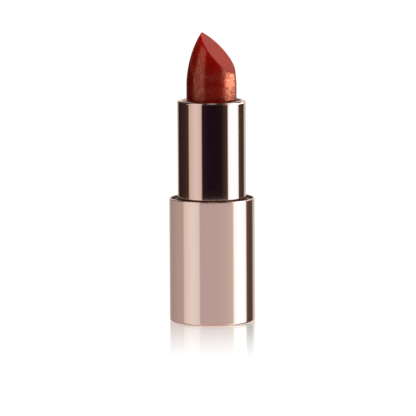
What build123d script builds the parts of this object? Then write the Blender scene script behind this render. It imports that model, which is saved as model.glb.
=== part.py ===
from build123d import *

import os
from math import sqrt

# Twist-up lipstick case without its cap, fully wound out: the pieces of the base, the swivel and the carrier.
#
# Frame: +Z up, origin at the centre of the base's underside, millimetres.
# The base holds a liner, a weight and a slotted guide tube. A cam sleeve with two helical grooves turns on the guide
# tube inside the collar. The cup's two lugs stand through the guide tube's straight slots into those grooves, so
# turning the collar moves the cup and the lipstick straight up or down.

# Driving dimensions: the outside of the case and of the lipstick
BASE_RADIUS = 10.05
BASE_HEIGHT = 29.1
COLLAR_RADIUS = 8.05
COLLAR_TOP = 52.15
BULLET_RADIUS = 5.9

# Twist mechanism: travel of the cup, and how far it moves in one turn of the collar
LIFT_TRAVEL = 18.0
LIFT_LEAD = 12.0
LUG_RADIUS = 0.9
LUG_HEIGHT = 41.9
LUG_ANGLES = (0.0, 180.0)
RUN_GAP = 0.05

# Base shell: drawn metal cup with a rounded rim and a shallow recess for the label
SHELL_WALL = 0.45
SHELL_FLOOR = 0.6
SHELL_FOOT_ROUND = 0.5
SHELL_RIM_ROUND = 0.2
LABEL_RECESS_RADIUS = 7.2
LABEL_RECESS_DEPTH = 0.2
LABEL_RADIUS = 7.0
LABEL_THICKNESS = 0.12

# Base liner: plastic, glued in the shell, with a weight below its web and a socket above it
LINER_RADIUS = 9.45
LINER_RIB_RADIUS = 9.58
LINER_RIBS = 12
LINER_RIB_WIDTH = 0.8
LINER_TOP = 28.45
LINER_BEAD_TOP = 28.65
LINER_BEAD_WIDTH = 0.4
SOCKET_RADIUS = 8.4
WEIGHT_RADIUS = 7.8
WEIGHT_HEIGHT = 6.0
WEIGHT_CHAMFER = 0.4
WEB_BOTTOM = 6.8
WEB_TOP = 8.1
WEB_HOLE_RADIUS = 2.0

# Guide tube: straight slots for the lugs, a ribbed foot pressed in the liner, and a snap bead at the top
GUIDE_BORE = 6.55
GUIDE_RADIUS = 7.0
GUIDE_BOTTOM = 8.3
GUIDE_TOP = 51.3
GUIDE_BEAD_RADIUS = 7.35
GUIDE_BEAD_HEIGHT = 0.5
FOOT_RADIUS = 7.8
FOOT_RIB_RADIUS = 8.38
FOOT_RIBS = 24
FOOT_RIB_WIDTH = 0.5
FOOT_TOP = 21.6
FLANGE_THICKNESS = 1.0

# Cam sleeve: turns on the guide tube and carries the collar
CAM_BORE = 7.06
CAM_RADIUS = 7.74
CAM_FLANGE_RADIUS = 8.3
CAM_FLANGE_TOP = 22.8
CAM_SHOULDER_RADIUS = 7.85
CAM_TOP = 50.75
GROOVE_FLOOR = 7.44
RING_RECESS_RADIUS = 7.5
RING_RECESS_HEIGHT = 0.8
RING_SECTION_RADIUS = 0.22

# Collar shell: thin drawn metal, rolled inwards round its mouth
COLLAR_WALL = 0.28
COLLAR_BOTTOM = 28.75
MOUTH_RADIUS = 6.95
MOUTH_ROUND = 0.5
MOUTH_CURL = 0.36
MOUTH_DISH = 0.06

# Cup: holds the lipstick by six crush ribs above its floor
CUP_RADIUS = 6.5
CUP_BORE = 6.1
CUP_BOTTOM = 40.6
CUP_TOP = 51.1
CUP_FLOOR_TOP = 41.3
CUP_VENT_RADIUS = 1.2
CUP_RIBS = 6
CUP_RIB_WIDTH = 0.5
CUP_RIB_DEPTH = 0.25
CUP_RIB_TOP = 50.2
CUP_RIM_CHAMFER = 0.15
LUG_TIP_RADIUS = 7.38

# Lipstick: an ogive cut by one slanting face that runs down towards SLANT_DIRECTION, seen from above
OGIVE_START = 55.25
OGIVE_ARC = 25.1
SLANT_ANGLE = 48.8
SLANT_DIRECTION = -23.3
SLANT_HEIGHT = 65.23
SLANT_EDGE_ROUND = 0.18


def ring(inner, outer, bottom, top):
    """A plain tube between two heights."""
    wall = Cylinder(outer, top - bottom) - Cylinder(inner, top - bottom)
    return Pos(0, 0, (bottom + top) / 2) * wall


def disc(radius, bottom, top):
    return Pos(0, 0, (bottom + top) / 2) * Cylinder(radius, top - bottom)


def turned(outline):
    """The solid that an outline of radius and height makes when it is turned about Z."""
    return revolve(Plane.XZ * make_face(outline), Axis.Z)


def ribs(count, inner, outer, width, bottom, top, first_angle=0.0):
    """Upright ribs with flat sides, whose crests lie on a cylinder."""
    bar = Pos((inner + outer) / 2, 0, (bottom + top) / 2) * Box(outer - inner, width, top - bottom)
    bars = [Rot(0, 0, first_angle + i * 360 / count) * bar for i in range(count)]
    return [one & disc(outer, bottom, top) for one in bars]


def edges_at(part, height, radius):
    """The round edges of a turned part at one height and radius."""
    found = part.edges().filter_by(GeomType.CIRCLE)
    return found.filter_by(lambda e: abs(e.center().Z - height) < 1e-3 and abs(e.radius - radius) < 1e-3)


def base_shell():
    inside = BASE_RADIUS - SHELL_WALL
    shell = disc(BASE_RADIUS, 0, BASE_HEIGHT) - disc(inside, SHELL_FLOOR, BASE_HEIGHT)
    shell -= disc(LABEL_RECESS_RADIUS, 0, LABEL_RECESS_DEPTH)
    shell = fillet(edges_at(shell, 0, BASE_RADIUS), SHELL_FOOT_ROUND)
    shell = fillet(edges_at(shell, BASE_HEIGHT, BASE_RADIUS), SHELL_RIM_ROUND)
    return fillet(edges_at(shell, BASE_HEIGHT, inside), SHELL_RIM_ROUND)


def shade_label():
    return disc(LABEL_RADIUS, LABEL_RECESS_DEPTH - LABEL_THICKNESS, LABEL_RECESS_DEPTH)


def base_weight():
    slug = disc(WEIGHT_RADIUS, SHELL_FLOOR, SHELL_FLOOR + WEIGHT_HEIGHT)
    return chamfer(slug.edges().filter_by(GeomType.CIRCLE), WEIGHT_CHAMFER)


def base_liner():
    liner = disc(LINER_RADIUS, SHELL_FLOOR, LINER_TOP)
    liner += ring(SOCKET_RADIUS, SOCKET_RADIUS + LINER_BEAD_WIDTH, LINER_TOP, LINER_BEAD_TOP)
    liner -= disc(SOCKET_RADIUS, SHELL_FLOOR, WEB_BOTTOM)
    liner -= disc(SOCKET_RADIUS, WEB_TOP, LINER_BEAD_TOP)
    liner -= disc(WEB_HOLE_RADIUS, WEB_BOTTOM, WEB_TOP)
    bead_edge = edges_at(liner, LINER_BEAD_TOP, SOCKET_RADIUS + LINER_BEAD_WIDTH)
    liner = fillet(bead_edge, (LINER_BEAD_TOP - LINER_TOP) / 2)
    rib_top = LINER_TOP - 1.0
    for rib in ribs(LINER_RIBS, LINER_RADIUS - 0.2, LINER_RIB_RADIUS, LINER_RIB_WIDTH, SHELL_FLOOR + 1.0, rib_top):
        liner += rib
    return liner


def guide_tube():
    tube = disc(GUIDE_RADIUS, GUIDE_BOTTOM, GUIDE_TOP)
    tube += disc(FOOT_RADIUS, GUIDE_BOTTOM, FOOT_TOP)
    tube += disc(GUIDE_BEAD_RADIUS, GUIDE_TOP - GUIDE_BEAD_HEIGHT, GUIDE_TOP)
    rib_top = FOOT_TOP - FLANGE_THICKNESS
    for rib in ribs(FOOT_RIBS, FOOT_RADIUS - 0.2, FOOT_RIB_RADIUS, FOOT_RIB_WIDTH, GUIDE_BOTTOM + 1.0, rib_top):
        tube += rib
    tube -= disc(GUIDE_BORE, GUIDE_BOTTOM, GUIDE_TOP)
    tube = chamfer(edges_at(tube, GUIDE_TOP, GUIDE_BEAD_RADIUS), GUIDE_BEAD_HEIGHT / 2)
    return tube - lug_slots()


def lug_slots():
    """Round-ended windows through the guide tube, one for each lug, as tall as the travel."""
    half_width = LUG_RADIUS + RUN_GAP
    bottom, top = LUG_HEIGHT - LIFT_TRAVEL, LUG_HEIGHT
    slots = []
    for angle in LUG_ANGLES:
        window = Pos(GUIDE_RADIUS, 0, (bottom + top) / 2) * Box(3, 2 * half_width, top - bottom)
        for height in (bottom, top):
            window += Pos(GUIDE_RADIUS, 0, height) * Rot(0, 90, 0) * Cylinder(half_width, 3)
        slots.append(Rot(0, 0, angle) * window)
    return slots


def torque_ring():
    height = FOOT_TOP + RUN_GAP + RING_RECESS_HEIGHT / 2
    return Pos(0, 0, height) * Torus((GUIDE_RADIUS + RING_RECESS_RADIUS) / 2, RING_SECTION_RADIUS)


def lug_groove(angle):
    """The helical groove that one lug follows; its top end is at the lug."""
    half_width = LUG_RADIUS + RUN_GAP
    middle = (CAM_BORE + GROOVE_FLOOR) / 2
    depth = GROOVE_FLOOR - CAM_BORE + 0.4
    turns = LIFT_TRAVEL / LIFT_LEAD
    path = Helix(pitch=LIFT_LEAD, height=LIFT_TRAVEL, radius=middle)
    start = path @ 0
    section_plane = Plane(origin=start, x_dir=(1, 0, 0), z_dir=path % 0)
    section = section_plane * Pos(-0.2, 0) * Rectangle(depth, 2 * half_width)
    groove = sweep(section, path=path, is_frenet=True)
    end_cap = Pos(GROOVE_FLOOR - depth / 2, 0, 0) * Rot(0, 90, 0) * Cylinder(half_width, depth)
    groove += end_cap
    groove += Pos(0, 0, LIFT_TRAVEL) * Rot(0, 0, 360 * turns) * end_cap
    return Pos(0, 0, LUG_HEIGHT - LIFT_TRAVEL) * Rot(0, 0, angle - 360 * turns) * groove


def cam_sleeve():
    bottom = FOOT_TOP + RUN_GAP
    sleeve = ring(CAM_BORE, CAM_RADIUS, bottom, CAM_TOP)
    sleeve += ring(CAM_BORE, CAM_FLANGE_RADIUS, bottom, CAM_FLANGE_TOP)
    sleeve += ring(CAM_BORE, CAM_SHOULDER_RADIUS, bottom, COLLAR_BOTTOM)
    sleeve -= disc(RING_RECESS_RADIUS, bottom, bottom + RING_RECESS_HEIGHT)
    for angle in LUG_ANGLES:
        sleeve -= lug_groove(angle)
    return sleeve


def collar_shell():
    """Thin sheath whose mouth is rolled inwards and turned down."""
    wall = COLLAR_WALL
    outer, inner = COLLAR_RADIUS, COLLAR_RADIUS - wall
    top, dished = COLLAR_TOP, COLLAR_TOP - MOUTH_DISH
    flat_start = outer - MOUTH_ROUND
    flat_end = MOUTH_RADIUS + MOUTH_CURL
    outline = [
        Line((inner, COLLAR_BOTTOM), (outer, COLLAR_BOTTOM)),
        Line((outer, COLLAR_BOTTOM), (outer, top - MOUTH_ROUND)),
        RadiusArc((outer, top - MOUTH_ROUND), (flat_start, top), -MOUTH_ROUND),
        Line((flat_start, top), (flat_end, dished)),
        RadiusArc((flat_end, dished), (MOUTH_RADIUS, dished - MOUTH_CURL), -MOUTH_CURL),
        Line((MOUTH_RADIUS, dished - MOUTH_CURL), (MOUTH_RADIUS + wall, dished - MOUTH_CURL)),
        RadiusArc((MOUTH_RADIUS + wall, dished - MOUTH_CURL), (flat_end, dished - wall), MOUTH_CURL - wall),
        Line((flat_end, dished - wall), (flat_start, top - wall)),
        RadiusArc((flat_start, top - wall), (inner, top - MOUTH_ROUND), MOUTH_ROUND - wall),
        Line((inner, top - MOUTH_ROUND), (inner, COLLAR_BOTTOM)),
    ]
    return turned(outline)


def cup():
    body = ring(CUP_BORE, CUP_RADIUS, CUP_BOTTOM, CUP_TOP)
    body += disc(CUP_RADIUS, CUP_BOTTOM, CUP_FLOOR_TOP)
    body -= disc(CUP_VENT_RADIUS, CUP_BOTTOM, CUP_FLOOR_TOP)
    body = chamfer(edges_at(body, CUP_TOP, CUP_BORE), CUP_RIM_CHAMFER)
    for rib in cup_ribs():
        body += rib
    reach = LUG_TIP_RADIUS - CUP_BORE
    for angle in LUG_ANGLES:
        lug = Pos(CUP_BORE + reach / 2, 0, LUG_HEIGHT) * Rot(0, 90, 0) * Cylinder(LUG_RADIUS, reach)
        body += Rot(0, 0, angle) * (lug - disc(CUP_BORE, CUP_BOTTOM, CUP_TOP))
    return body


def cup_ribs():
    inner = CUP_BORE - CUP_RIB_DEPTH
    bars = ribs(CUP_RIBS, inner, CUP_BORE + 0.2, CUP_RIB_WIDTH, CUP_FLOOR_TOP, CUP_RIB_TOP, 30)
    return bars


def bullet():
    """The lipstick itself: cylinder, ogive nose and one slanting face with softened edges."""
    apex = OGIVE_START + sqrt(OGIVE_ARC**2 - (OGIVE_ARC - BULLET_RADIUS) ** 2)
    outline = [
        Line((0, CUP_FLOOR_TOP), (BULLET_RADIUS, CUP_FLOOR_TOP)),
        Line((BULLET_RADIUS, CUP_FLOOR_TOP), (BULLET_RADIUS, OGIVE_START)),
        RadiusArc((BULLET_RADIUS, OGIVE_START), (0, apex), -OGIVE_ARC),
        Line((0, apex), (0, CUP_FLOOR_TOP)),
    ]
    body = turned(outline)
    size = 4 * BULLET_RADIUS
    above = Pos(0, 0, size / 2) * Box(size, size, size)
    body -= Pos(0, 0, SLANT_HEIGHT) * Rot(0, 0, SLANT_DIRECTION) * Rot(0, SLANT_ANGLE, 0) * above
    slant_face = body.faces().filter_by(GeomType.PLANE).sort_by(Axis.Z)[-1]
    body = fillet(slant_face.edges(), SLANT_EDGE_ROUND)
    for rib in cup_ribs():
        body -= rib
    return body


PIECES = (
    base_shell,
    shade_label,
    base_weight,
    base_liner,
    guide_tube,
    torque_ring,
    cam_sleeve,
    collar_shell,
    cup,
    bullet,
)


def main():
    os.makedirs("parts", exist_ok=True)
    for piece in PIECES:
        export_step(piece(), f"parts/{piece.__name__}.step")


main()
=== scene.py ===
from math import cos, pi, radians, sin, sqrt, tan

import bmesh
import bpy
from bpy.props import FloatProperty, FloatVectorProperty, IntProperty, PointerProperty
from mathutils import Euler, Matrix, Vector, noise


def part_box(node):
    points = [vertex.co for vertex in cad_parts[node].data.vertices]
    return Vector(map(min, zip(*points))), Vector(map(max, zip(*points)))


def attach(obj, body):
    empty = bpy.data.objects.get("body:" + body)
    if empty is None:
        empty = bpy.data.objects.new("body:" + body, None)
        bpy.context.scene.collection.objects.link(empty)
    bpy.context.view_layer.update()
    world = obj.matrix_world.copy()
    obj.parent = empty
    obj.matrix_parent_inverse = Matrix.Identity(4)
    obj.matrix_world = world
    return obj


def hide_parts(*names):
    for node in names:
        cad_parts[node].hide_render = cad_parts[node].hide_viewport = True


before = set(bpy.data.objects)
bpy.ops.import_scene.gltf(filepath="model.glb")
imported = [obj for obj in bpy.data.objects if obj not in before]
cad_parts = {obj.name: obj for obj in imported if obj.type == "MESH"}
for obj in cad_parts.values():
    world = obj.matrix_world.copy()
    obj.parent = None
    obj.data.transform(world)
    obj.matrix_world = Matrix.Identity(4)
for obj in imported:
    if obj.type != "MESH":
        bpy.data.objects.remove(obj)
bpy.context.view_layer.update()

bl_info = {
    "name": "Lipstick Case",
    "version": (1, 0, 0),
    "blender": (4, 5, 0),
    "location": "View3D > Sidebar > Lipstick",
    "description": "Builds the visible pieces of a twist-up lipstick and the studio around it",
    "category": "Add Mesh",
}

MM = 0.001


def low_z(node):
    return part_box(node)[0].z


def high_z(node):
    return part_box(node)[1].z


def wide(node):
    """The outer radius of a turned CAD node."""
    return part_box(node)[1].x


def linked(name, data):
    """A new object in the scene."""
    made = bpy.data.objects.new(name, data)
    bpy.context.scene.collection.objects.link(made)
    return made


# ------------------------------------------------------------------------------
# Settings that a user would change


def length(name, default, description):
    return FloatProperty(name=name, description=description, default=default, unit="LENGTH", precision=5)


def turn(name, default, description):
    return FloatProperty(name=name, description=description, default=radians(default), unit="ROTATION")


def tint(name, default, description):
    return FloatVectorProperty(
        name=name, description=description, default=default, subtype="COLOR", size=3, min=0.0, soft_max=1.0
    )


def number(name, default, description, lowest=0.0):
    return FloatProperty(name=name, description=description, default=default, min=lowest)


def share(name, default, description):
    return FloatProperty(
        name=name, description=description, default=default, min=0.0, max=1.0, subtype="FACTOR"
    )


class ShellSizes(bpy.types.PropertyGroup):
    """The two drawn metal shells."""

    segments: IntProperty(name="Segments", description="Faces round each turned piece", default=192, min=24)
    base_wall: length("Base wall", 0.45 * MM, "Thickness of the base shell")
    base_floor: length("Base floor", 0.6 * MM, "Thickness of the base's bottom")
    foot_round: length("Foot rounding", 0.5 * MM, "Radius of the base's lower edge")
    rim_round: length("Rim rounding", 0.08 * MM, "Radius of both edges of the base's rim")
    recess_radius: length("Recess radius", 7.2 * MM, "Radius of the recess for the label")
    recess_depth: length("Recess depth", 0.2 * MM, "Depth of the recess for the label")
    collar_wall: length("Collar wall", 0.28 * MM, "Thickness of the collar shell")
    mouth_radius: length("Mouth radius", 6.95 * MM, "Inner radius of the collar's rolled mouth")
    mouth_round: length("Mouth rounding", 0.5 * MM, "Radius of the collar's upper edge")
    mouth_curl: length("Mouth curl", 0.36 * MM, "Radius of the roll at the inside of the mouth")
    mouth_dish: length("Mouth dish", 0.06 * MM, "How far the lip falls towards the mouth")


class LinerSizes(bpy.types.PropertyGroup):
    """The plastic liner inside the base."""

    bore: length("Bore", 8.4 * MM, "Radius of the socket for the guide tube")
    wall_radius: length("Wall radius", 9.45 * MM, "Outer radius between the ribs")
    bead_width: length("Bead width", 0.4 * MM, "Width of the raised bead at the mouth of the socket")
    bead_height: length("Bead height", 0.2 * MM, "Height of that bead")
    web_bottom: length("Web bottom", 6.8 * MM, "Height of the underside of the web")
    web_top: length("Web top", 8.1 * MM, "Height of the upper side of the web")
    web_hole: length("Web hole", 2.0 * MM, "Radius of the hole in the web")
    ribs: IntProperty(name="Ribs", description="Glue ribs round the outside", default=12, min=1)
    rib_width: length("Rib width", 0.8 * MM, "Width of one glue rib")
    rib_depth: length("Rib depth", 0.3 * MM, "Depth of one glue rib, its root inside the wall")
    rib_inset: length("Rib inset", 0.16 * MM, "How far the middle of a rib's depth lies inside its crest")
    rib_gap: length("Rib gap", 1.0 * MM, "Between the ends of a rib and the ends of the wall")


class LipstickSizes(bpy.types.PropertyGroup):
    """The lipstick's ogive and its slanting face."""

    columns: IntProperty(name="Columns", description="Faces round the lipstick", default=288, min=48)
    ogive_start: length("Ogive start", 55.25 * MM, "Height where the side begins to curve in")
    ogive_arc: length("Ogive arc", 25.1 * MM, "Radius of the side's curve")
    slant: turn("Slant", 48.8, "Slope of the slanting face from the horizontal")
    slant_way: turn("Slant direction", -23.3, "Way that the slanting face runs down, from +X")
    slant_height: length("Slant height", 65.23 * MM, "Height of the slanting face on the axis")
    tip_radius: length("Tip radius", 0.35 * MM, "Radius of the side at its very tip")
    tip_lean: number("Tip lean", 6.7, "How late the side narrows to the tip", 1.0)
    edge_round: length("Edge rounding", 0.18 * MM, "Width of the softened edge on each side")
    seat_radius: length("Seat radius", 5.82 * MM, "Radius of the part that the cup's ribs hold")
    seat_top: length("Seat top", 50.3 * MM, "Height of the top of that part")


class Finishes(bpy.types.PropertyGroup):
    """Colours and gloss of the materials."""

    metal: tint("Metal", (0.90, 0.63, 0.52), "Rose-champagne anodising")
    metal_cloud: tint("Metal cloud", (0.88, 0.66, 0.56), "Paler patches of the anodising")
    # The metal's edge tint is a painted highlight: a paler tone on the foot, rim and mouth edges.
    metal_edge_highlight: tint("Metal edge", (0.96, 0.74, 0.62), "Thinner anodising along the edges")
    # The metal's foot tint is a painted reflection: a copper line on the base's foot rounding.
    metal_foot_reflection: tint("Metal foot", (0.92, 0.53, 0.37), "Copper tone of the base's foot rounding")
    # The metal's inside tint is painted shade darkening the base's inner wall; the roughness there is the
    # metal's own.
    metal_inside_shade: tint("Metal inside", (0.30, 0.19, 0.15), "Unpolished inner wall of the base")
    metal_gloss: share("Metal roughness", 0.010, "Roughness of the polished metal")
    wax: tint("Wax", (0.52, 0.003, 0.001), "Body colour of the lipstick")
    cut_wax: tint("Cut wax", (0.37, 0.045, 0.031), "Colour of the lipstick's slanting face")
    wax_foot: tint("Wax at the cup", (0.10, 0.002, 0.001), "Shaded wax where the lipstick enters the collar")
    # The wax edge tint is a painted highlight: a pink line along the softened edge of the slanting face.
    wax_edge_highlight: tint("Wax edge", (0.66, 0.075, 0.10), "Line along the edge of the slanting face")
    mica: tint("Mica", (0.50, 0.17, 0.10), "Colour of the fine flakes in the lipstick")
    bright_mica: tint("Bright mica", (0.56, 0.22, 0.13), "Colour of the brightest flakes")
    mica_share: share("Mica share", 0.36, "Part of the surface that is flakes")
    grey: tint("Liner grey", (0.10, 0.092, 0.088), "Plastic of the liner")
    acetal: tint("Acetal", (0.76, 0.73, 0.66), "Plastic of the guide tube")
    white: tint("White acetal", (0.82, 0.82, 0.80), "Plastic of the cam sleeve")
    cup: tint("Cup", (0.70, 0.67, 0.60), "Plastic of the cup")
    silicone: tint("Silicone", (0.52, 0.52, 0.50), "Rubber of the torque ring")
    steel: tint("Weight", (0.56, 0.57, 0.58), "Plated steel of the weight")
    paper: tint("Label", (0.86, 0.85, 0.83), "Paper of the label")
    swatch: tint("Swatch", (0.36, 0.02, 0.012), "Swatch of the shade on the label")
    label_ring: tint("Label ring", (0.62, 0.42, 0.36), "Thin ring printed on the label")


class StudioSettings(bpy.types.PropertyGroup):
    """Camera, floor and reflections."""

    distance: length("Distance", 1.0, "From the camera to the point it looks at")
    elevation: turn("Elevation", 7.15, "Height of the camera above the horizontal")
    roll: turn("Roll", -0.28, "Tilt of the camera about its own axis")
    focal: number("Focal length", 368.5, "Of the lens, in millimetres")
    aim_side: length("Aim aside", -0.95 * MM, "Sideways place of the point looked at")
    aim_height: length("Aim height", 26.6 * MM, "Height of the point looked at")
    ring_radius: length("Card ring", 1.0, "Radius of the ring of studio cards")
    ring_reach: length("Card reach", 1.2, "How far the cards reach above")
    ring_drop: length("Card drop", 1.9, "How far the cards reach below")
    low_join: length("Low join", 0.25 * MM, "End of the base's cards, above what the rim shows")
    middle_join: length("Middle join", 4 * MM, "End of the collar's cards, above what the mouth shows")
    high_join: length("High join", 0.3 * MM, "Start of the cards for the base's image in the floor")
    high_end: length("High end", 42 * MM, "End of the cards for the base's image in the floor")
    card_softness: turn("Card softness", 2.0, "Half of the width of the soft join between two cards")
    room: number("Room light", 1.02, "Strength of the white background")
    sun: number("Top light", 4.4, "Strength of the soft light overhead")
    fill: number("Front fill", 0.9, "Strength of the light from the front")
    floor_glow: number("Floor glow", 1.09, "Strength of the floor's own light")
    floor_gloss: share("Floor reflection", 0.60, "Strength of the floor's reflection at the foot")
    floor_tint: tint("Floor tint", (1.0, 0.965, 0.91), "Tint of the floor's reflection")
    floor_fade: length("Reflection fade", 59 * MM, "Distance over which that reflection fades out")


# ------------------------------------------------------------------------------
# Node trees written as expressions


class Wire:
    """An output socket that can stand in an expression. Each step of a sum becomes one Math node."""

    def __init__(self, graph, socket):
        self.graph = graph
        self.socket = socket

    def __add__(self, other):
        return self.graph.math("ADD", self, other)

    def __radd__(self, other):
        return self.graph.math("ADD", other, self)

    def __sub__(self, other):
        return self.graph.math("SUBTRACT", self, other)

    def __rsub__(self, other):
        return self.graph.math("SUBTRACT", other, self)

    def __mul__(self, other):
        return self.graph.math("MULTIPLY", self, other)

    def __rmul__(self, other):
        return self.graph.math("MULTIPLY", other, self)

    def __truediv__(self, other):
        return self.graph.math("DIVIDE", self, other)

    def __pow__(self, other):
        return self.graph.math("POWER", self, other)


class Graph:
    """A node tree under construction, for a material or for Geometry Nodes."""

    def __init__(self, tree):
        self.tree = tree

    def node(self, kind, settings=None, inputs=None, output=0):
        """Adds a node, makes its settings, then gives its sockets their values or links."""
        made = self.tree.nodes.new(kind)
        settings = dict(settings or {})
        stops = settings.pop("stops", None)
        for name, value in settings.items():
            setattr(made, name, value)
        if stops:
            self.set_stops(made.color_ramp, stops)
        for name, value in (inputs or {}).items():
            self.give(made.inputs[name], value)
        return Wire(self, made.outputs[output])

    def end(self, kind, wire):
        """Adds the output node, fed by the wire."""
        self.give(self.tree.nodes.new(kind).inputs[0], wire)

    @staticmethod
    def set_stops(ramp, stops):
        while len(ramp.elements) < len(stops):
            ramp.elements.new(1.0)
        for element, (place, colour) in zip(ramp.elements, stops):
            element.position = place
            element.color = (*colour, 1.0)

    def give(self, socket, value):
        if isinstance(value, Wire):
            self.tree.links.new(value.socket, socket)
        else:
            socket.default_value = value

    def math(self, operation, first, second=0.0, clamp=False):
        settings = {"operation": operation, "use_clamp": clamp}
        return self.node("ShaderNodeMath", settings, {0: first, 1: second})

    def vector(self, operation, first, second=(0.0, 0.0, 0.0), output=0):
        return self.node("ShaderNodeVectorMath", {"operation": operation}, {0: first, 1: second}, output)

    def mix(self, factor, first, second):
        """A colour between two; 0, 6, 7 and 2 are the Mix node's sockets for its factor and its colours."""
        return self.node("ShaderNodeMix", {"data_type": "RGBA"}, {0: factor, 6: first, 7: second}, 2)

    def step(self, value, start, end):
        """0 below start and 1 above end, smooth between."""
        inputs = {"Value": value, "From Min": start, "From Max": end}
        return self.node("ShaderNodeMapRange", {"interpolation_type": "SMOOTHSTEP"}, inputs)

    def band(self, value, start, full, fade, end):
        """1 from full to fade and 0 before start and after end, smooth between."""
        return self.step(value, start, full) * (1.0 - self.step(value, fade, end))

    def place(self):
        return self.node("ShaderNodeTexCoord", output="Object")

    def axes(self, vector):
        """The three parts of a vector."""
        split = self.node("ShaderNodeSeparateXYZ", inputs={0: vector})
        return [Wire(self, socket) for socket in split.socket.node.outputs]

    def join(self, x, y, z):
        return self.node("ShaderNodeCombineXYZ", inputs={0: x, 1: y, 2: z})

    def radius(self, x, y):
        """Distance from the Z axis."""
        return self.math("SQRT", x * x + y * y)

    def noise(self, vector, scale, detail=2.0, roughness=0.5):
        inputs = {"Vector": vector, "Scale": scale, "Detail": detail, "Roughness": roughness}
        return self.node("ShaderNodeTexNoise", inputs=inputs)


class Bare(Graph):
    """The node tree of a new material that has no nodes yet."""

    def __init__(self, name):
        self.material = bpy.data.materials.new(name)
        self.material.use_nodes = True
        super().__init__(self.material.node_tree)
        self.tree.nodes.clear()


class Finish(Bare):
    """A material with one Principled shader, whose constant sockets are set by name."""

    def __init__(self, name, **constants):
        super().__init__(name)
        surface = self.node("ShaderNodeBsdfPrincipled")
        self.surface = surface.socket.node
        self.end("ShaderNodeOutputMaterial", surface)
        for name, value in constants.items():
            self.feed(name.replace("_", " "), value)

    def feed(self, name, value):
        """Gives one socket of the shader a value or a link."""
        self.give(self.surface.inputs[name], value)

    def bump(self, height, strength, distance):
        inputs = {"Strength": strength, "Distance": distance, "Height": height}
        self.feed("Normal", self.node("ShaderNodeBump", inputs=inputs))


# ------------------------------------------------------------------------------
# Materials


def rose_metal(finishes):
    """Bright rose-champagne anodising over drawn aluminium: draw lines, smudges, edges with a painted
    highlight, a painted copper reflection on the foot, a dull inside with painted shade.
    """
    finish = Finish("rose_metal", Metallic=1.0)
    place = finish.place()
    x, y, z = finish.axes(place)
    across = finish.vector("NORMALIZE", finish.join(x, y, 0.0))
    across_x, across_y, _ = finish.axes(across)
    drawn = finish.join(across_x, across_y, z * 0.4)
    lines = finish.noise(drawn, 160.0, detail=3.0)
    smudge = finish.noise(place, 240.0, detail=4.0, roughness=0.6)
    cloud = finish.noise(place, 90.0, detail=1.0)
    base_top, collar_top = high_z("base_shell"), high_z("collar_shell")
    near_foot = 1.0 - finish.step(z, 0.2 * MM, 0.5 * MM)
    near_rim = finish.band(z, base_top - 0.35 * MM, base_top, base_top, base_top + 0.1 * MM)
    near_mouth = finish.step(z, collar_top - 0.6 * MM, collar_top)
    edge = finish.math("MAXIMUM", finish.math("MAXIMUM", near_foot, near_rim), near_mouth)
    radius = finish.radius(x, y)
    wall = wide("base_shell")
    inside = finish.band(radius, wall - 1.4 * MM, wall - 1.2 * MM, wall - 0.35 * MM, wall - 0.2 * MM)
    tone = finish.mix(cloud * 0.16, (*finishes.metal, 1.0), (*finishes.metal_cloud, 1.0))
    # Painted highlight: a paler tone along the edges.
    tone = finish.mix(edge * 0.45, tone, (*finishes.metal_edge_highlight, 1.0))
    # Painted reflection: a copper tone on the foot rounding.
    tone = finish.mix(near_foot, tone, (*finishes.metal_foot_reflection, 1.0))
    # Painted shade: a darker tone on the inner wall.
    tone = finish.mix(inside * 0.8, tone, (*finishes.metal_inside_shade, 1.0))
    finish.feed("Base Color", tone)
    polished = finishes.metal_gloss + smudge * 0.010 + lines * 0.004
    finish.feed("Roughness", polished + edge * 0.008 + inside * 0.25)
    finish.bump(lines, 0.04, 0.004 * MM)
    return finish.material


def lipstick_wax(finishes, sizes):
    """Deep red wax full of fine copper mica; the slanting face is paler, duller, and shows fewer flakes."""
    finish = Finish("lipstick_wax", IOR=1.45, Specular_IOR_Level=0.03)
    place = finish.place()
    cells = {"Vector": place, "Scale": 16000.0}
    flake_colour = finish.node("ShaderNodeTexVoronoi", {"feature": "F1"}, cells, "Color")
    chance, bright, tilt = finish.axes(flake_colour)
    coarse = finish.noise(place, 4200.0, detail=2.0, roughness=0.6)
    broad = finish.noise(place, 700.0, detail=3.0)
    lean, rise = sin(sizes.slant), cos(sizes.slant)
    way = (lean * cos(sizes.slant_way), lean * sin(sizes.slant_way), rise)
    depth = finish.vector("DOT_PRODUCT", place, way, "Value") - sizes.slant_height * rise
    cut = finish.step(depth, -0.12 * MM, -0.02 * MM)
    amount = (finishes.mica_share + (coarse - 0.5) * 0.07 + (broad - 0.5) * 0.08) * (1.0 - cut * 0.5)
    flake = finish.step(amount - chance, -0.05, 0.05)
    dull = tuple(part * 0.8 for part in finishes.mica)
    mica = finish.mix(bright, (*dull, 1.0), (*finishes.bright_mica, 1.0))
    body = finish.mix(broad, (*finishes.wax, 1.0), tuple(part * 0.8 for part in finishes.wax) + (1.0,))
    body = finish.mix(cut, body, (*finishes.cut_wax, 1.0))
    _, _, z = finish.axes(place)
    mouth = high_z("collar_shell")
    shade = 1.0 - finish.step(z, mouth - 1.0 * MM, mouth + 2.6 * MM)
    edge_highlight_band = finish.band(depth, -0.20 * MM, -0.13 * MM, -0.06 * MM, 0.0)
    tone = finish.mix(flake, body, mica)
    tone = finish.mix(shade * 0.75, tone, (*finishes.wax_foot, 1.0))
    # Painted highlight: a pink line along the edge of the slanting face, without flakes.
    tone = finish.mix(edge_highlight_band * 0.55, tone, (*finishes.wax_edge_highlight, 1.0))
    finish.feed("Base Color", tone)
    finish.feed("Metallic", flake * (1.0 - edge_highlight_band))
    finish.feed("Roughness", 0.17 + coarse * 0.04 + cut * 0.22)
    finish.bump(tilt * flake * 0.8 + coarse * 0.15, 0.3, 0.003 * MM)
    return finish.material


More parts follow.
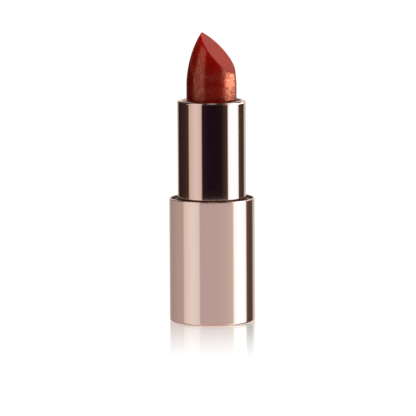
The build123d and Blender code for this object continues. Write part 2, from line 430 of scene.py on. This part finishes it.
def moulded(name, colour, roughness, grain=0.006, fade=0.06):
    """Moulded plastic: fine texture from the tool's surface, and faint flow marks round the axis."""
    finish = Finish(name, IOR=1.47)
    place = finish.place()
    x, y, z = finish.axes(place)
    flow = finish.noise(finish.join(x, y, z * 4.0), 180.0, detail=3.0)
    fine = finish.noise(place, 5200.0, detail=2.0)
    dark = tuple(part * (1.0 - fade) for part in colour)
    light = tuple(min(1.0, part * (1.0 + fade)) for part in colour)
    finish.feed("Base Color", finish.mix(flow, (*dark, 1.0), (*light, 1.0)))
    finish.feed("Roughness", roughness + (fine - 0.5) * 0.12 + (flow - 0.5) * 0.08)
    finish.bump(fine, 0.4, grain * MM)
    return finish.material


def turned_steel(colour):
    """Zinc-plated steel with rings left by the lathe."""
    finish = Finish("weight_steel", Metallic=1.0)
    place = finish.place()
    x, y, z = finish.axes(place)
    radius = finish.radius(x, y)
    rings = finish.noise(finish.join(radius, 0.0, z * 0.35), 9000.0, detail=3.0)
    bloom = finish.noise(place, 420.0, detail=4.0, roughness=0.6)
    warm = tuple(part * shade for part, shade in zip(colour, (1.06, 1.0, 0.9)))
    finish.feed("Base Color", finish.mix(bloom, (*colour, 1.0), (*warm, 1.0)))
    finish.feed("Roughness", 0.26 + bloom * 0.14 + rings * 0.08)
    finish.bump(rings, 0.5, 0.006 * MM)
    return finish.material


def label_paper(finishes):
    """Blank coated label with one plain swatch of the shade and a thin ring."""
    finish = Finish("label_paper", IOR=1.45)
    place = finish.place()
    x, y, _ = finish.axes(place)
    radius = finish.radius(x, y)
    fibres = finish.noise(place, 2600.0, detail=5.0, roughness=0.7)
    swatch = 1.0 - finish.step(radius, 2.35 * MM, 2.42 * MM)
    ring = finish.band(radius, 5.95 * MM, 6.0 * MM, 6.2 * MM, 6.25 * MM)
    grey = tuple(part * 0.92 for part in finishes.paper)
    tone = finish.mix(fibres, (*finishes.paper, 1.0), (*grey, 1.0))
    tone = finish.mix(swatch, tone, (*finishes.swatch, 1.0))
    finish.feed("Base Color", finish.mix(ring, tone, (*finishes.label_ring, 1.0)))
    finish.feed("Roughness", 0.42 + fibres * 0.2)
    finish.bump(fibres, 0.5, 0.004 * MM)
    return finish.material


def card_glow(name, stops, second_hand=None):
    """Glow of one row of studio cards, its colours laid along it; the floor's reflection passes through.

    A second-hand colour, if there is one, takes the row's place where a reflection shows it in a reflection.
    """
    graph = Bare(name)
    graph.material.cycles.emission_sampling = "NONE"
    across, _, _ = graph.axes(graph.node("ShaderNodeTexCoord", output="UV"))
    colour = graph.node("ShaderNodeValToRGB", {"stops": stops}, {0: across})
    if second_hand:
        depth = graph.node("ShaderNodeLightPath", output="Ray Depth")
        colour = graph.mix(graph.math("GREATER_THAN", depth, 1.5), colour, (*second_hand, 1.0))
    glow = graph.node("ShaderNodeEmission", inputs={"Color": colour, "Strength": 1.0})
    clear = graph.node("ShaderNodeBsdfTransparent")
    sharp = graph.node("ShaderNodeLightPath", output="Is Singular Ray")
    shown = graph.node("ShaderNodeMixShader", inputs={0: sharp, 1: glow, 2: clear})
    graph.end("ShaderNodeOutputMaterial", shown)
    return graph.material


def floor_surface(studio):
    """Back-lit white acrylic, polished, whose reflection fades away from the foot of the case."""
    graph = Bare("floor_acrylic")
    x, y, _ = graph.axes(graph.place())
    away = (graph.radius(x, y) - wide("base_shell")) / studio.floor_fade
    near = graph.math("SUBTRACT", 1.0, away, clamp=True)
    strength = studio.floor_gloss * near ** 1.3
    white = {"Color": (1.0, 1.0, 1.0, 1.0), "Strength": studio.floor_glow}
    glow = graph.node("ShaderNodeEmission", inputs=white)
    gloss = graph.node("ShaderNodeBsdfGlossy", inputs={"Color": (*studio.floor_tint, 1.0), "Roughness": 0.0})
    shown = graph.node("ShaderNodeMixShader", inputs={0: strength, 1: glow, 2: gloss})
    graph.end("ShaderNodeOutputMaterial", shown)
    return graph.material


MATERIALS = {}


def material_for(slot):
    """The finish of one of the record's material slots, made once."""
    if slot not in MATERIALS:
        scene = bpy.context.scene
        f = scene.lipstick_finishes
        makers = {
            "rose_metal": lambda: rose_metal(f),
            "lipstick_wax": lambda: lipstick_wax(f, scene.lipstick_sizes),
            "grey_plastic": lambda: moulded("grey_plastic", f.grey, 0.38),
            "ivory_plastic": lambda: moulded("ivory_plastic", f.acetal, 0.42),
            "white_plastic": lambda: moulded("white_plastic", f.white, 0.40),
            "cup_plastic": lambda: moulded("cup_plastic", f.cup, 0.24, grain=0.003),
            "silicone": lambda: moulded("silicone", f.silicone, 0.30, grain=0.004, fade=0.03),
            "weight_steel": lambda: turned_steel(f.steel),
            "label_paper": lambda: label_paper(f),
        }
        MATERIALS[slot] = makers[slot]()
    return MATERIALS[slot]


# ------------------------------------------------------------------------------
# Shapes


def arc(centre, radius, start, end, steps=10):
    """Points on a circle of a profile, from one angle to another, in degrees."""
    points = []
    for i in range(steps + 1):
        angle = radians(start + (end - start) * i / steps)
        points.append((centre[0] + radius * cos(angle), centre[1] + radius * sin(angle)))
    return points


def with_supports(points, gap=0.06 * MM):
    """The profile with a point close to each end of its long straights, to keep shading on the curves."""
    closer = [points[0]]
    for (r0, z0), (r1, z1) in zip(points, points[1:]):
        run = sqrt((r1 - r0) ** 2 + (z1 - z0) ** 2)
        if run > 5 * gap:
            for part in (gap / run, 1 - gap / run):
                closer.append((r0 + (r1 - r0) * part, z0 + (z1 - z0) * part))
        closer.append((r1, z1))
    return closer


class Builder(Graph):
    """A Geometry Nodes tree that turns a start and some values into finished faces."""

    def __init__(self, name, start, **kinds):
        super().__init__(bpy.data.node_groups.new(name, "GeometryNodeTree"))
        sockets = {start: "Geometry", **kinds, "Finish": "Material"}
        for socket, kind in sockets.items():
            plain_name = socket.replace("_", " ")
            self.tree.interface.new_socket(plain_name, in_out="INPUT", socket_type="NodeSocket" + kind)
        self.tree.interface.new_socket("Made", in_out="OUTPUT", socket_type="NodeSocketGeometry")
        outputs = self.node("NodeGroupInput").socket.node.outputs
        self.given = [Wire(self, outputs[i]) for i in range(len(sockets))]

    def dress(self, geometry, finish):
        """Ends the tree with real faces in their finish."""
        real = self.node("GeometryNodeRealizeInstances", inputs={"Geometry": geometry})
        dressed = self.node("GeometryNodeSetMaterial", inputs={"Geometry": real, "Material": finish})
        self.end("NodeGroupOutput", dressed)
        return self.tree


def lathe_group():
    """Geometry Nodes that sweep a profile, drawn with X as radius and -Y as height, round the Z axis."""
    graph = Builder("Turn a profile", "Profile", Segments="Int", Path_radius="Float")
    profile, segments, path_radius, finish = graph.given
    line = graph.node("GeometryNodeMeshToCurve", inputs={"Mesh": profile})
    inwards = graph.join(0.0 - path_radius, 0.0, 0.0)
    moved = graph.node("GeometryNodeTransform", inputs={"Geometry": line, "Translation": inwards})
    circle = {"Resolution": segments, "Radius": path_radius}
    path = graph.node("GeometryNodeCurvePrimitiveCircle", inputs=circle)
    swept = graph.node("GeometryNodeCurveToMesh", inputs={"Curve": path, "Profile Curve": moved})
    welded = graph.node("GeometryNodeMergeByDistance", inputs={"Geometry": swept, "Distance": 1e-7})
    return graph.dress(graph.node("GeometryNodeSetShadeSmooth", inputs={"Geometry": welded}), finish)


def rib_group():
    """Geometry Nodes that set upright ribs round a cylinder."""
    sizes = {name: "Float" for name in ("Radius", "Depth", "Width", "Bottom", "Top", "First_angle")}
    graph = Builder("Ribs round a wall", "Start", Count="Int", **sizes)
    _, count, radius, depth, width, bottom, top, first, finish = graph.given
    bar = graph.node("GeometryNodeMeshCube", inputs={"Size": graph.join(depth, width, top - bottom)})
    ring = graph.node("GeometryNodeMeshCircle", inputs={"Vertices": count, "Radius": radius})
    x, y, _ = graph.axes(graph.node("GeometryNodeInputPosition"))
    angle = graph.math("ARCTAN2", y, x)
    placed = graph.node(
        "GeometryNodeInstanceOnPoints",
        inputs={"Points": ring, "Instance": bar, "Rotation": graph.join(0.0, 0.0, angle)},
    )
    lifted = graph.node(
        "GeometryNodeTransform",
        inputs={
            "Geometry": placed,
            "Translation": graph.join(0.0, 0.0, (top + bottom) * 0.5),
            "Rotation": graph.join(0.0, 0.0, first),
        },
    )
    return graph.dress(lifted, finish)


GROUPS = {}


def node_group(maker):
    """A Geometry Nodes tree, built once."""
    if maker not in GROUPS:
        GROUPS[maker] = maker()
    return GROUPS[maker]


def grown(name, mesh, group, values):
    """The mesh that a Geometry Nodes tree makes from a starting mesh, as plain faces."""
    start = linked(name, mesh)
    modifier = start.modifiers.new("Shape", "NODES")
    modifier.node_group = group
    for item in group.interface.items_tree:
        if item.in_out == "INPUT" and item.name in values:
            modifier[item.identifier] = values[item.name]
    depsgraph = bpy.context.evaluated_depsgraph_get()
    result = bpy.data.meshes.new_from_object(start.evaluated_get(depsgraph))
    bpy.data.objects.remove(start)
    return result


def tidy_mesh(mesh, sharp=35.0):
    """Welds doubles, turns the faces outwards, and shades smooth up to a sharp angle."""
    work = bmesh.new()
    work.from_mesh(mesh)
    bmesh.ops.remove_doubles(work, verts=work.verts, dist=1e-7)
    bmesh.ops.dissolve_degenerate(work, edges=work.edges, dist=1e-8)
    bmesh.ops.recalc_face_normals(work, faces=work.faces)
    for face in work.faces:
        face.smooth = True
    work.to_mesh(mesh)
    work.free()
    mesh.set_sharp_from_angle(angle=radians(sharp))


def turned(name, profile, material, segments=None):
    """A closed mesh made by turning a profile of (radius, height) points about Z."""
    points = with_supports(profile)
    closed = points[0] == points[-1]
    if closed:
        points = points[:-1]
    mesh = bpy.data.meshes.new(name)
    edges = [(i, i + 1) for i in range(len(points) - 1)]
    if closed:
        edges.append((len(points) - 1, 0))
    mesh.from_pydata([(r, -z, 0.0) for r, z in points], edges, [])
    segments = segments or bpy.context.scene.lipstick_shells.segments
    values = {"Segments": segments, "Path radius": 10 * MM, "Finish": material}
    result = grown(name, mesh, node_group(lathe_group), values)
    tidy_mesh(result)
    return result


def joined(meshes):
    """One mesh holding several."""
    work = bmesh.new()
    for mesh in meshes:
        work.from_mesh(mesh)
    first = meshes[0]
    work.to_mesh(first)
    work.free()
    return first


class LipstickShape:
    """The lipstick's ogive, cut by its slanting face."""

    side_rows = 60
    edge_rows = 8
    face_rows = 14
    halvings = 30
    edge_waver = 0.25
    edge_waves = 900.0

    def __init__(self, sizes):
        self.sizes = sizes
        self.radius = wide("bullet")
        self.foot = low_z("bullet")
        self.downhill = Vector((cos(sizes.slant_way), sin(sizes.slant_way), 0.0))
        self.tip = self.above_cut(lambda height: -self.downhill * self.ogive(height))
        self.tip_shift = self.ogive(self.tip) - sizes.tip_radius

    def ogive(self, height):
        """Radius of the plain ogive at a height."""
        arc_radius = self.sizes.ogive_arc
        rise = max(0.0, height - self.sizes.ogive_start)
        return self.radius - arc_radius + sqrt(arc_radius**2 - rise**2)

    def side(self, angle, height):
        """A point of the side. Near the tip the sections shrink towards the high side, for a keen tip."""
        start = self.sizes.ogive_start
        lean = self.tip_shift * max(0.0, (height - start) / (self.tip - start)) ** self.sizes.tip_lean
        out = Vector((cos(angle), sin(angle), 0.0))
        return out * (self.ogive(height) - lean) - self.downhill * lean + Vector((0, 0, height))

    def above_cut(self, point_at):
        """Height where the line of points crosses the slanting face."""
        s = self.sizes
        low, high = s.seat_top, s.slant_height + 0.7 * self.radius
        for _ in range(self.halvings):
            middle = (low + high) / 2
            if middle - s.slant_height + tan(s.slant) * point_at(middle).dot(self.downhill) < 0:
                low = middle
            else:
                high = middle
        return (low + high) / 2

    def column(self, angle, centre):
        """The points of one column: from the foot up the side, over the softened edge, to the centre."""
        s = self.sizes
        out = Vector((cos(angle), sin(angle), 0.0))
        corner = self.side(angle, self.above_cut(lambda height: self.side(angle, height)))
        soft = s.edge_round * (1.0 + self.edge_waver * noise.noise(corner * self.edge_waves))
        shoulder = self.side(angle, corner.z - soft)
        landing = corner + (centre - corner).normalized() * soft
        points = [out * s.seat_radius + Vector((0, 0, height)) for height in (self.foot, s.seat_top)]
        start = s.seat_top + 0.3 * MM
        for i in range(self.side_rows + 1):
            points.append(self.side(angle, start + (shoulder.z - start) * i / self.side_rows))
        for i in range(1, self.edge_rows):
            t = i / self.edge_rows
            points.append(shoulder * (1 - t) ** 2 + corner * (2 * t * (1 - t)) + landing * t**2)
        for i in range(self.face_rows):
            points.append(landing.lerp(centre, i / self.face_rows))
        return points

    def mesh(self):
        s = self.sizes
        lowest = self.above_cut(lambda height: self.side(s.slant_way, height))
        middle = (self.tip + lowest) / 2
        centre = self.downhill * ((s.slant_height - middle) / tan(s.slant)) + Vector((0, 0, middle))
        columns = [self.column(2 * pi * i / s.columns, centre) for i in range(s.columns)]
        rows = len(columns[0])
        points = [point for column in columns for point in column]
        points += [Vector((0, 0, self.foot)), centre]
        foot_pole, face_pole = len(points) - 2, len(points) - 1
        faces = []
        for i in range(s.columns):
            here, there = i * rows, (i + 1) % s.columns * rows
            faces.append((foot_pole, there, here))
            for j in range(rows - 1):
                faces.append((here + j, there + j, there + j + 1, here + j + 1))
            faces.append((here + rows - 1, there + rows - 1, face_pole))
        mesh = bpy.data.meshes.new("lipstick_wax")
        mesh.from_pydata(points, [], faces)
        return mesh


def put(name, mesh, body, slot, *nodes):
    """Makes a finished piece of a mesh, riding on a body and standing for CAD nodes."""
    mesh.name = name
    piece = linked(name, mesh)
    if not mesh.materials:
        mesh.materials.append(material_for(slot))
    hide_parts(*nodes)
    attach(piece, body)


def put_turned(name, profile, body, slot, node, segments=None):
    """Makes a finished piece by turning a profile."""
    put(name, turned(name, profile, material_for(slot), segments), body, slot, node)


# ------------------------------------------------------------------------------
# Operators


class LIPSTICK_OT_base_shell(bpy.types.Operator):
    """Makes the drawn metal shell of the base"""

    bl_idname = "lipstick.base_shell"
    bl_label = "Base Shell"

    def execute(self, context):
        s = context.scene.lipstick_shells
        outer, top = wide("base_shell"), high_z("base_shell")
        inner = outer - s.base_wall
        foot, rim = s.foot_round, s.rim_round
        profile = [(0.0, s.recess_depth), (s.recess_radius, s.recess_depth), (s.recess_radius, 0.0)]
        profile += arc((outer - foot, foot), foot, -90, 0)
        profile += arc((outer - rim, top - rim), rim, 0, 90)
        profile += arc((inner + rim, top - rim), rim, 90, 180)
        profile += [(inner, s.base_floor), (0.0, s.base_floor)]
        put_turned("base_shell_metal", profile, "base", "rose_metal", "base_shell")
        return {"FINISHED"}


class LIPSTICK_OT_collar_shell(bpy.types.Operator):
    """Makes the drawn metal shell of the collar, with its mouth rolled inwards"""

    bl_idname = "lipstick.collar_shell"
    bl_label = "Collar Shell"

    def execute(self, context):
        s = context.scene.lipstick_shells
        outer, top, bottom = wide("collar_shell"), high_z("collar_shell"), low_z("collar_shell")
        wall, roll, curl, dished = s.collar_wall, s.mouth_round, s.mouth_curl, top - s.mouth_dish
        inner = outer - wall
        bend = (outer - roll, top - roll)
        lip = (s.mouth_radius + curl, dished - curl)
        profile = [(inner, bottom), (outer, bottom)]
        profile += arc(bend, roll, 0, 90)
        profile += arc(lip, curl, 90, 180)
        profile += arc(lip, curl - wall, 180, 90, 4)
        profile += arc(bend, roll - wall, 90, 0, 4)
        profile += [(inner, bottom)]
        put_turned("collar_shell_metal", profile, "swivel", "rose_metal", "collar_shell")
        return {"FINISHED"}


class LIPSTICK_OT_liner(bpy.types.Operator):
    """Makes the plastic liner of the base, with its glue ribs"""

    bl_idname = "lipstick.liner"
    bl_label = "Base Liner"

    def execute(self, context):
        s = context.scene.lipstick_liner
        material = material_for("grey_plastic")
        bottom, top = low_z("base_liner"), high_z("base_liner")
        ledge = top - s.bead_height
        half = s.bead_height / 2
        bead = (s.bore + half, top - half)
        profile = [(s.bore, bottom), (s.wall_radius, bottom)]
        profile += arc((s.wall_radius - half, ledge - half), half, 0, 90, 6)
        profile += [(s.bore + s.bead_width + half / 2, ledge)]
        profile += arc((s.bore + s.bead_width - half, top - half), half, 0, 90, 6)
        profile += arc(bead, half, 90, 180, 6)
        profile += [(s.bore, s.web_top), (s.web_hole, s.web_top)]
        profile += [(s.web_hole, s.web_bottom), (s.bore, s.web_bottom), (s.bore, bottom)]
        wall = turned("base_liner_moulding", profile, material)
        values = {
            "Count": s.ribs,
            "Radius": wide("base_liner") - s.rib_inset,
            "Depth": s.rib_depth,
            "Width": s.rib_width,
            "Bottom": bottom + s.rib_gap,
            "Top": ledge - s.rib_gap,
            "First angle": 0.0,
            "Finish": material,
        }
        ribs = grown("liner_ribs", bpy.data.meshes.new("liner_ribs"), node_group(rib_group), values)
        put("base_liner_moulding", joined([wall, ribs]), "base", "grey_plastic", "base_liner")
        return {"FINISHED"}


class LIPSTICK_OT_bullet(bpy.types.Operator):
    """Makes the lipstick itself, with its ogive and slanting face"""

    bl_idname = "lipstick.bullet"
    bl_label = "Lipstick"

    def execute(self, context):
        mesh = LipstickShape(context.scene.lipstick_sizes).mesh()
        tidy_mesh(mesh, sharp=60.0)
        put("lipstick_wax", mesh, "carrier", "lipstick_wax", "bullet")
        return {"FINISHED"}


class LIPSTICK_OT_weight_and_label(bpy.types.Operator):
    """Makes the turned weight in the base and the label underneath"""

    bl_idname = "lipstick.weight_and_label"
    bl_label = "Weight and Label"

    def execute(self, context):
        radius, bottom, top = wide("base_weight"), low_z("base_weight"), high_z("base_weight")
        cut, centre_radius, centre_depth = 0.4 * MM, 0.9 * MM, 0.5 * MM
        profile = [(0.0, bottom), (radius - cut, bottom), (radius, bottom + cut), (radius, top - cut)]
        profile += [(radius - cut, top), (centre_radius, top), (0.0, top - centre_depth)]
        put_turned("weight_slug", profile, "base", "weight_steel", "base_weight", segments=96)
        radius, bottom, top = wide("shade_label"), low_z("shade_label"), high_z("shade_label")
        edge = (top - bottom) / 2
        profile = [(0.0, bottom)] + arc((radius - edge, bottom + edge), edge, -90, 90, 6) + [(0.0, top)]
        put_turned("label_disc", profile, "base", "label_paper", "shade_label", segments=128)
        return {"FINISHED"}


class LIPSTICK_OT_mechanism(bpy.types.Operator):
    """Gives the mouldings of the twist mechanism their finishes"""

    bl_idname = "lipstick.mechanism"
    bl_label = "Twist Mechanism"

    slots = {
        "guide_tube": "ivory_plastic",
        "cam_sleeve": "white_plastic",
        "cup": "cup_plastic",
        "torque_ring": "silicone",
    }

    def execute(self, context):
        for node, slot in self.slots.items():
            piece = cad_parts[node]
            piece.data.materials.clear()
            piece.data.materials.append(material_for(slot))
        return {"FINISHED"}


class LIPSTICK_OT_stage(bpy.types.Operator):
    """Sets up the camera, the floor, the soft light and the ring of studio cards"""

    bl_idname = "lipstick.stage"
    bl_label = "Studio"

    def execute(self, context):
        studio = context.scene.lipstick_studio
        self.camera(context.scene, studio)
        self.floor(studio)
        self.light(context.scene, studio)
        self.cards(studio)
        context.scene.view_settings.view_transform = "Standard"
        return {"FINISHED"}

    def camera(self, scene, studio):
        data = bpy.data.cameras.new("camera")
        data.lens = studio.focal
        data.clip_start, data.clip_end = 0.01, 20.0
        camera = linked("camera", data)
        aim = Vector((studio.aim_side, 0.0, studio.aim_height))
        back = Vector((0.0, -cos(studio.elevation), sin(studio.elevation)))
        camera.location = aim + back * studio.distance
        turn_to = back.to_track_quat("Z", "Y").to_matrix() @ Matrix.Rotation(studio.roll, 3, "Z")
        camera.rotation_euler = turn_to.to_euler()
        scene.camera = camera

    def floor(self, studio):
        mesh = bpy.data.meshes.new("floor")
        half, drop = 4.0, -0.01 * MM
        corners = [(-half, -half, drop), (half, -half, drop), (half, half, drop), (-half, half, drop)]
        mesh.from_pydata(corners, [], [(0, 1, 2, 3)])
        mesh.materials.append(floor_surface(studio))
        floor = linked("floor", mesh)
        floor.visible_diffuse = False
        floor.visible_glossy = False
        floor.visible_shadow = False

    def light(self, scene, studio):
        world = bpy.data.worlds.new("white_room")
        scene.world = world
        world.use_nodes = True
        background = world.node_tree.nodes["Background"].inputs
        background["Color"].default_value = (1.0, 1.0, 1.0, 1.0)
        background["Strength"].default_value = studio.room
        world.cycles_visibility.diffuse = False
        for name, strength, softness, tilt in (
            ("top_light", studio.sun, 50.0, (-6.0, 8.0, 0.0)),
            ("front_fill", studio.fill, 110.0, (70.0, 0.0, 6.0)),
        ):
            data = bpy.data.lights.new(name, "SUN")
            data.energy = strength
            data.angle = radians(softness)
            light = linked(name, data)
            light.rotation_euler = Euler([radians(part) for part in tilt])
            light.visible_glossy = False

    def cards(self, studio):
        reach = studio.ring_reach
        foot = self.mirrored(studio, 0.0)
        low = self.mirrored(studio, high_z("base_shell")) + studio.low_join
        middle = self.mirrored(studio, high_z("collar_shell")) + studio.middle_join
        high, end = studio.high_join - foot, studio.high_end - foot
        rows = (
            ("low_cards", BASE_CARDS, -studio.ring_drop, low),
            ("middle_cards", COLLAR_CARDS, low, middle),
            ("upper_cards", LIPSTICK_CARDS, middle, high),
            ("high_cards", BASE_CARDS, high, end),
            ("top_cards", COLLAR_CARDS, end, reach),
        )
        for name, cards, bottom, top in rows:
            self.row(studio, name, cards, bottom, top)
        radius = studio.ring_radius
        self.disc("ceiling_card", radius, (0.0, 0.0, reach), CEILING)
        overhead = (0.0, -0.7 * radius, 0.98 * reach)
        self.disc("overhead_card", 0.3 * radius, overhead, OVERHEAD)
        self.disc("under_card", radius, (0.0, 0.0, -studio.ring_drop), UNDER)

    @staticmethod
    def mirrored(studio, height):
        """Height on the ring that an upright wall shows to the camera, at a height on the wall."""
        above = studio.aim_height + studio.distance * sin(studio.elevation) - height
        return height - above * studio.ring_radius / (studio.distance * cos(studio.elevation))

    def row(self, studio, name, cards, bottom, top):
        """One row of the ring, all the way round, with soft joins between its cards."""
        steps = 180
        points, faces = [], []
        for i in range(steps + 1):
            angle = 2 * pi * i / steps - pi
            x, y = studio.ring_radius * sin(angle), -studio.ring_radius * cos(angle)
            points += [(x, y, bottom), (x, y, top)]
        for i in range(steps):
            faces.append((2 * i, 2 * i + 1, 2 * i + 3, 2 * i + 2))
        mesh = bpy.data.meshes.new(name)
        mesh.from_pydata(points, [], faces)
        layer = mesh.uv_layers.new(name="UVMap")
        for loop in mesh.loops:
            layer.data[loop.index].uv = (loop.vertex_index // 2 / steps, loop.vertex_index % 2)
        stops = []
        for _, start, end, colours in cards:
            start, end = radians(start) + studio.card_softness, radians(end) - studio.card_softness
            for i, colour in enumerate(colours):
                angle = start + (end - start) * i / (len(colours) - 1)
                stops.append(((angle + pi) / (2 * pi), colour))
        second_hand = BOUNCE if cards is LIPSTICK_CARDS else None
        self.set_up(name, mesh, card_glow(name, stops, second_hand))

    def disc(self, name, radius, centre, colour):
        """A flat round card above or below."""
        count = 48
        points = []
        for i in range(count):
            angle = 2 * pi * i / count
            points.append(Vector(centre) + Vector((radius * cos(angle), radius * sin(angle), 0.0)))
        mesh = bpy.data.meshes.new(name)
        mesh.from_pydata(points, [], [tuple(range(count))])
        self.set_up(name, mesh, card_glow(name, [(0.0, colour)]))

    @staticmethod
    def set_up(name, mesh, material):
        mesh.materials.append(material)
        card = linked(name, mesh)
        card.visible_camera = False
        card.visible_diffuse = False
        card.visible_shadow = False


# The cards of each row: name, start and end angle in degrees from the front (positive to the right), and
# colours from start to end.
BACK_LEFT = ("back_left_card", -180, -148, [(0.90, 0.92, 0.92), (0.55, 0.53, 0.54), (0.45, 0.44, 0.44)])
SOFTBOX = [(1.10, 1.42, 1.60), (1.25, 1.62, 1.95), (1.25, 1.62, 1.95), (1.10, 1.40, 1.55)]
BROWN = [(0.10, 0.075, 0.068), (0.06, 0.036, 0.032), (0.09, 0.06, 0.052)]
BACK_RIGHT = ("back_right_card", 146, 180, [(0.62, 0.66, 0.68), (0.75, 0.80, 0.82), (0.90, 0.92, 0.92)])
COLLAR_CARDS = (
    BACK_LEFT,
    ("left_flag", -148, -83,
        [(0.022, 0.013, 0.010), (0.036, 0.021, 0.018), (0.040, 0.024, 0.024), (0.07, 0.042, 0.044)]),
    ("tan_card", -83, -34,
        [(0.62, 0.62, 0.54), (0.72, 0.71, 0.68), (0.79, 0.77, 0.84), (0.78, 0.76, 0.82), (0.66, 0.66, 0.60)]),
    ("black_flag", -34, 56,
        [(0.022, 0.012, 0.022), (0.013, 0.007, 0.014), (0.012, 0.006, 0.012), (0.016, 0.009, 0.013),
         (0.08, 0.055, 0.045)]),
    ("softbox", 56, 101, SOFTBOX),
    ("right_flag", 101, 138, BROWN),
    ("back_edge_card", 138, 146, [(0.60, 0.63, 0.65), (0.62, 0.66, 0.68)]),
    BACK_RIGHT,
)
LIPSTICK_CARDS = (
    ("back_left_card", -180, -148, [(0.95, 0.92, 0.90), (0.75, 0.50, 0.44), (0.35, 0.10, 0.06)]),
    ("left_flag", -148, -92, [(0.02, 0.012, 0.010), (0.03, 0.02, 0.018)]),
    ("tan_card", -92, -32, [(0.62, 0.62, 0.54), (0.79, 0.77, 0.84), (0.66, 0.66, 0.60)]),
    ("black_flag", -32, 67,
        [(0.02, 0.012, 0.02), (0.012, 0.006, 0.012), (0.012, 0.006, 0.012), (1.1, 0.35, 0.2)]),
    ("softbox", 67, 134, [(4.6, 4.4, 4.1), (7.2, 7.0, 6.8), (5.4, 4.2, 3.4)]),
    ("back_right_card", 134, 180, [(1.2, 0.6, 0.45), (0.9, 0.7, 0.6), (0.95, 0.92, 0.90)]),
)
BASE_CARDS = (
    BACK_LEFT,
    ("mauve_card", -148, -83,
        [(0.40, 0.35, 0.33), (0.44, 0.38, 0.42), (0.47, 0.45, 0.46), (0.49, 0.48, 0.44)]),
    ("cream_card", -83, -34,
        [(0.76, 0.74, 0.80), (0.82, 0.84, 0.90), (0.84, 0.95, 0.90), (0.83, 0.92, 1.0), (0.78, 0.83, 0.95)]),
    ("front_card", -34, 59,
        [(0.52, 0.50, 0.58), (0.53, 0.51, 0.56), (0.54, 0.52, 0.56), (0.56, 0.54, 0.60), (0.64, 0.65, 0.58)]),
    ("softbox", 59, 104.3, SOFTBOX),
    ("right_flag", 104.3, 140, [(0.14, 0.115, 0.09), (0.088, 0.058, 0.050), (0.12, 0.086, 0.080)]),
    ("back_edge_card", 140, 146, [(0.58, 0.55, 0.52), (0.62, 0.62, 0.61)]),
    BACK_RIGHT,
)

# What a reflection seen in a reflection shows of the lipstick's cards, and the flat cards above and below.
BOUNCE = (0.56, 0.44, 0.37)
CEILING = (0.05, 0.04, 0.04)
OVERHEAD = (1.0, 0.85, 0.85)
UNDER = (0.62, 0.52, 0.46)


class LIPSTICK_PT_panel(bpy.types.Panel):
    """Lists the pieces and the settings"""

    bl_idname = "LIPSTICK_PT_panel"
    bl_label = "Lipstick Case"
    bl_space_type = "VIEW_3D"
    bl_region_type = "UI"
    bl_category = "Lipstick"

    def draw(self, context):
        layout = self.layout
        for operator in OPERATORS:
            layout.operator(operator.bl_idname)
        for name, group in GROUPS_OF_SETTINGS.items():
            box = layout.box()
            settings = getattr(context.scene, name)
            for field in group.__annotations__:
                box.prop(settings, field)


GROUPS_OF_SETTINGS = {
    "lipstick_shells": ShellSizes,
    "lipstick_liner": LinerSizes,
    "lipstick_sizes": LipstickSizes,
    "lipstick_finishes": Finishes,
    "lipstick_studio": StudioSettings,
}
OPERATORS = (
    LIPSTICK_OT_stage,
    LIPSTICK_OT_base_shell,
    LIPSTICK_OT_liner,
    LIPSTICK_OT_weight_and_label,
    LIPSTICK_OT_mechanism,
    LIPSTICK_OT_collar_shell,
    LIPSTICK_OT_bullet,
)


def register():
    for group in GROUPS_OF_SETTINGS.values():
        bpy.utils.register_class(group)
    for name, group in GROUPS_OF_SETTINGS.items():
        setattr(bpy.types.Scene, name, PointerProperty(type=group))
    for operator in OPERATORS:
        bpy.utils.register_class(operator)
    bpy.utils.register_class(LIPSTICK_PT_panel)


def unregister():
    bpy.utils.unregister_class(LIPSTICK_PT_panel)
    for operator in reversed(OPERATORS):
        bpy.utils.unregister_class(operator)
    for name, group in reversed(GROUPS_OF_SETTINGS.items()):
        delattr(bpy.types.Scene, name)
        bpy.utils.unregister_class(group)


def main():
    register()
    for operator in OPERATORS:
        group, name = operator.bl_idname.split(".")
        getattr(getattr(bpy.ops, group), name)()


if __name__ == "__main__":
    main()
